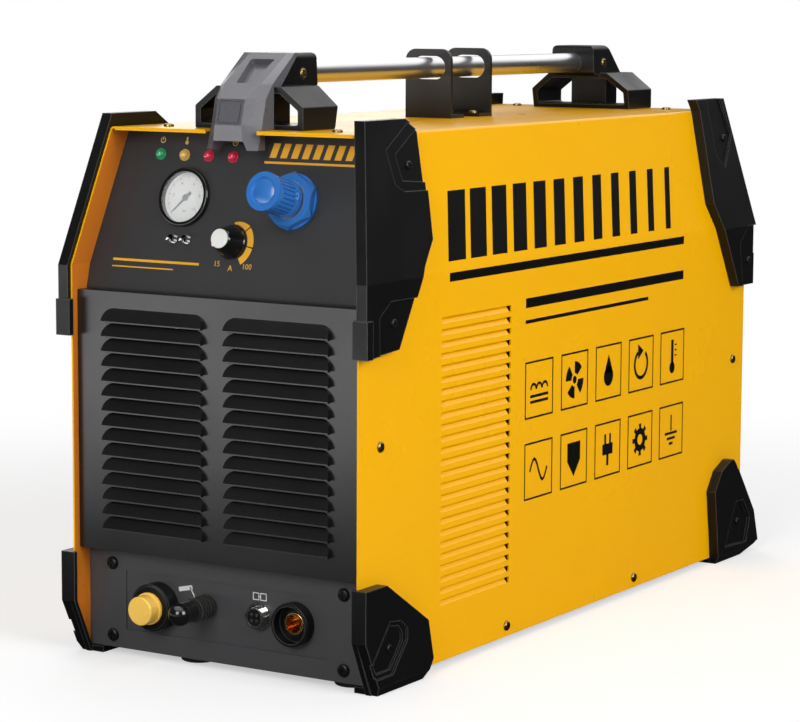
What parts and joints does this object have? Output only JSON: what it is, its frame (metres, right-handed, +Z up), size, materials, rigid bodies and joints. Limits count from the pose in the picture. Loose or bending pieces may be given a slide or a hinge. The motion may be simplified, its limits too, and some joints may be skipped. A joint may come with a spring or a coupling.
{
  "type": "plasma cutter unit",
  "caption": "Upright air plasma cutting power source: folded yellow cover, louvred front, sloping control panel, torch and work sockets, corner guards and a tube carrying handle",
  "frame": {"origin": "on the floor under the middle of the whole unit, midway between the front of the pilot post's ball and the heels of the lower rear guards", "axes": "+Z up, +X to the right seen from the front, +Y from front to rear; the front faces -Y"},
  "size_m": [0.294, 0.725, 0.484],
  "materials": {
    "yellow_powder": "semi-gloss powder coat",
    "black_powder": "fine-texture powder coat",
    "grey_satin_steel": "satin baked paint",
    "charcoal_panel": "fine-grain paint",
    "zinc_sheet": "plain galvanised sheet",
    "zinc_screw": "bright passivated zinc",
    "black_screw": "black oxide",
    "black_plastic": "moulded, fine grain",
    "gloss_black": "polished mould",
    "grey_plastic": "moulded, fine grain",
    "blue_plastic": "smooth moulded",
    "yellow_plastic": "smooth moulded",
    "white_plastic": "smooth moulded",
    "rubber_black": "moulded rubber",
    "satin_aluminium": "satin drawn tube",
    "cast_aluminium": "extruded",
    "chrome_metal": "bright plated",
    "brass_metal": "turned brass",
    "dial_white": "printed enamel",
    "clear_glass": "clear",
    "green_lens": "translucent moulded lens",
    "amber_lens": "translucent moulded lens",
    "red_lens": "translucent moulded lens",
    "board_green": "solder mask",
    "module_black": "moulded epoxy",
    "copper_winding": "enamelled wire"
  },
  "bodies": {
    "case": {"cover": "yellow_powder", "zinc_screws": "zinc_screw", "base_tray": "black_powder", "black_screws": "black_screw", "rubber_feet": "rubber_black", "socket_panel": "black_plastic", "louvre_panel": "grey_satin_steel", "control_panel": "charcoal_panel", "rear_panel": "black_powder", "inner_wall": "zinc_sheet", "hangers": "black_powder", "brass_terminals": "brass_metal", "gauge_case": "gloss_black", "gauge_dial": "dial_white", "gauge_lens": "clear_glass", "regulator_body": "cast_aluminium", "regulator_nut": "blue_plastic", "toggle_switches": "chrome_metal", "lamp_green": "green_lens", "lamp_amber": "amber_lens", "lamps_red": "red_lens", "torch_socket": "black_plastic", "pilot_sleeve": "black_plastic", "signal_shell": "chrome_metal", "signal_insert": "black_plastic", "work_socket": "black_plastic", "guards_upper_front": "black_plastic", "guards_upper_rear": "black_plastic", "guards_lower_front": "black_plastic", "guards_lower_rear": "black_plastic", "bracket_front": "black_plastic", "bracket_rear": "black_plastic", "handle_tube": "satin_aluminium", "bracket_nose": "grey_plastic", "fan_frame": "black_plastic", "fan_grille": "chrome_metal", "breaker": "black_plastic", "cable_gland": "black_plastic", "air_inlet": "brass_metal", "heat_sinks": "cast_aluminium", "circuit_boards": "board_green", "power_blocks": "module_black", "transformer": "copper_winding", "solenoid_valve": "module_black", "air_hoses": "rubber_black"},
    "current_dial": {"current_knob": "black_plastic", "current_knob_cap": "white_plastic"},
    "regulator_shaft": {"regulator_spindle": "zinc_sheet"},
    "regulator_grip": {"regulator_knob": "blue_plastic"},
    "toggle_left": {"toggle_lever_left": "chrome_metal"},
    "toggle_right": {"toggle_lever_right": "chrome_metal"},
    "pressure_needle": {"gauge_needle": "cast_aluminium"},
    "torch_cap": {"dust_cap": "yellow_plastic"},
    "pilot_clamp": {"pilot_knob": "gloss_black"},
    "breaker_rocker": {"breaker_lever": "gloss_black"},
    "fan_wheel": {"fan_rotor": "black_plastic"}
  },
  "joints": [
    {"name": "current_turn", "type": "hinge", "parent": "case", "child": "current_dial", "pos_m": [0.0005, -0.30778, 0.33847], "axis": [0, 0.9686, -0.2488], "range_deg": [0, 270]},
    {"name": "regulator_turn", "type": "hinge", "parent": "case", "child": "regulator_shaft", "pos_m": [0.053, -0.29929, 0.3715], "axis": [0, 0.9686, -0.2488], "range_deg": [-450, 450]},
    {"name": "regulator_lift", "type": "slide", "parent": "regulator_shaft", "child": "regulator_grip", "axis": [0, -0.9686, 0.2488], "range_m": [0, 0.004]},
    {"name": "left_toggle_flip", "type": "hinge", "parent": "case", "child": "toggle_left", "pos_m": [-0.0553, -0.30778, 0.33847], "axis": [-1, 0, 0], "range_deg": [0, 22]},
    {"name": "right_toggle_flip", "type": "hinge", "parent": "case", "child": "toggle_right", "pos_m": [-0.0426, -0.30778, 0.33847], "axis": [-1, 0, 0], "range_deg": [0, 22]},
    {"name": "needle_swing", "type": "hinge", "parent": "case", "child": "pressure_needle", "pos_m": [-0.0503, -0.29949, 0.37072], "axis": [0, 0.9686, -0.2488], "range_deg": [0, 270], "stiffness_Nm_per_rad": 0.0002},
    {"name": "cap_pull", "type": "slide", "parent": "case", "child": "torch_cap", "axis": [0, -1, 0], "range_m": [0, 0.03]},
    {"name": "pilot_unscrew", "type": "hinge", "parent": "case", "child": "pilot_clamp", "pos_m": [-0.018, -0.3165, 0.0505], "axis": [0, -1, 0], "range_deg": [0, 720]},
    {"name": "breaker_throw", "type": "hinge", "parent": "case", "child": "breaker_rocker", "pos_m": [-0.06, 0.2955, 0.34], "axis": [1, 0, 0], "range_deg": [0, 60]},
    {"name": "fan_spin", "type": "hinge", "parent": "case", "child": "fan_wheel", "pos_m": [0, 0.2855, 0.215], "axis": [0, 1, 0], "continuous": true}
  ]
}
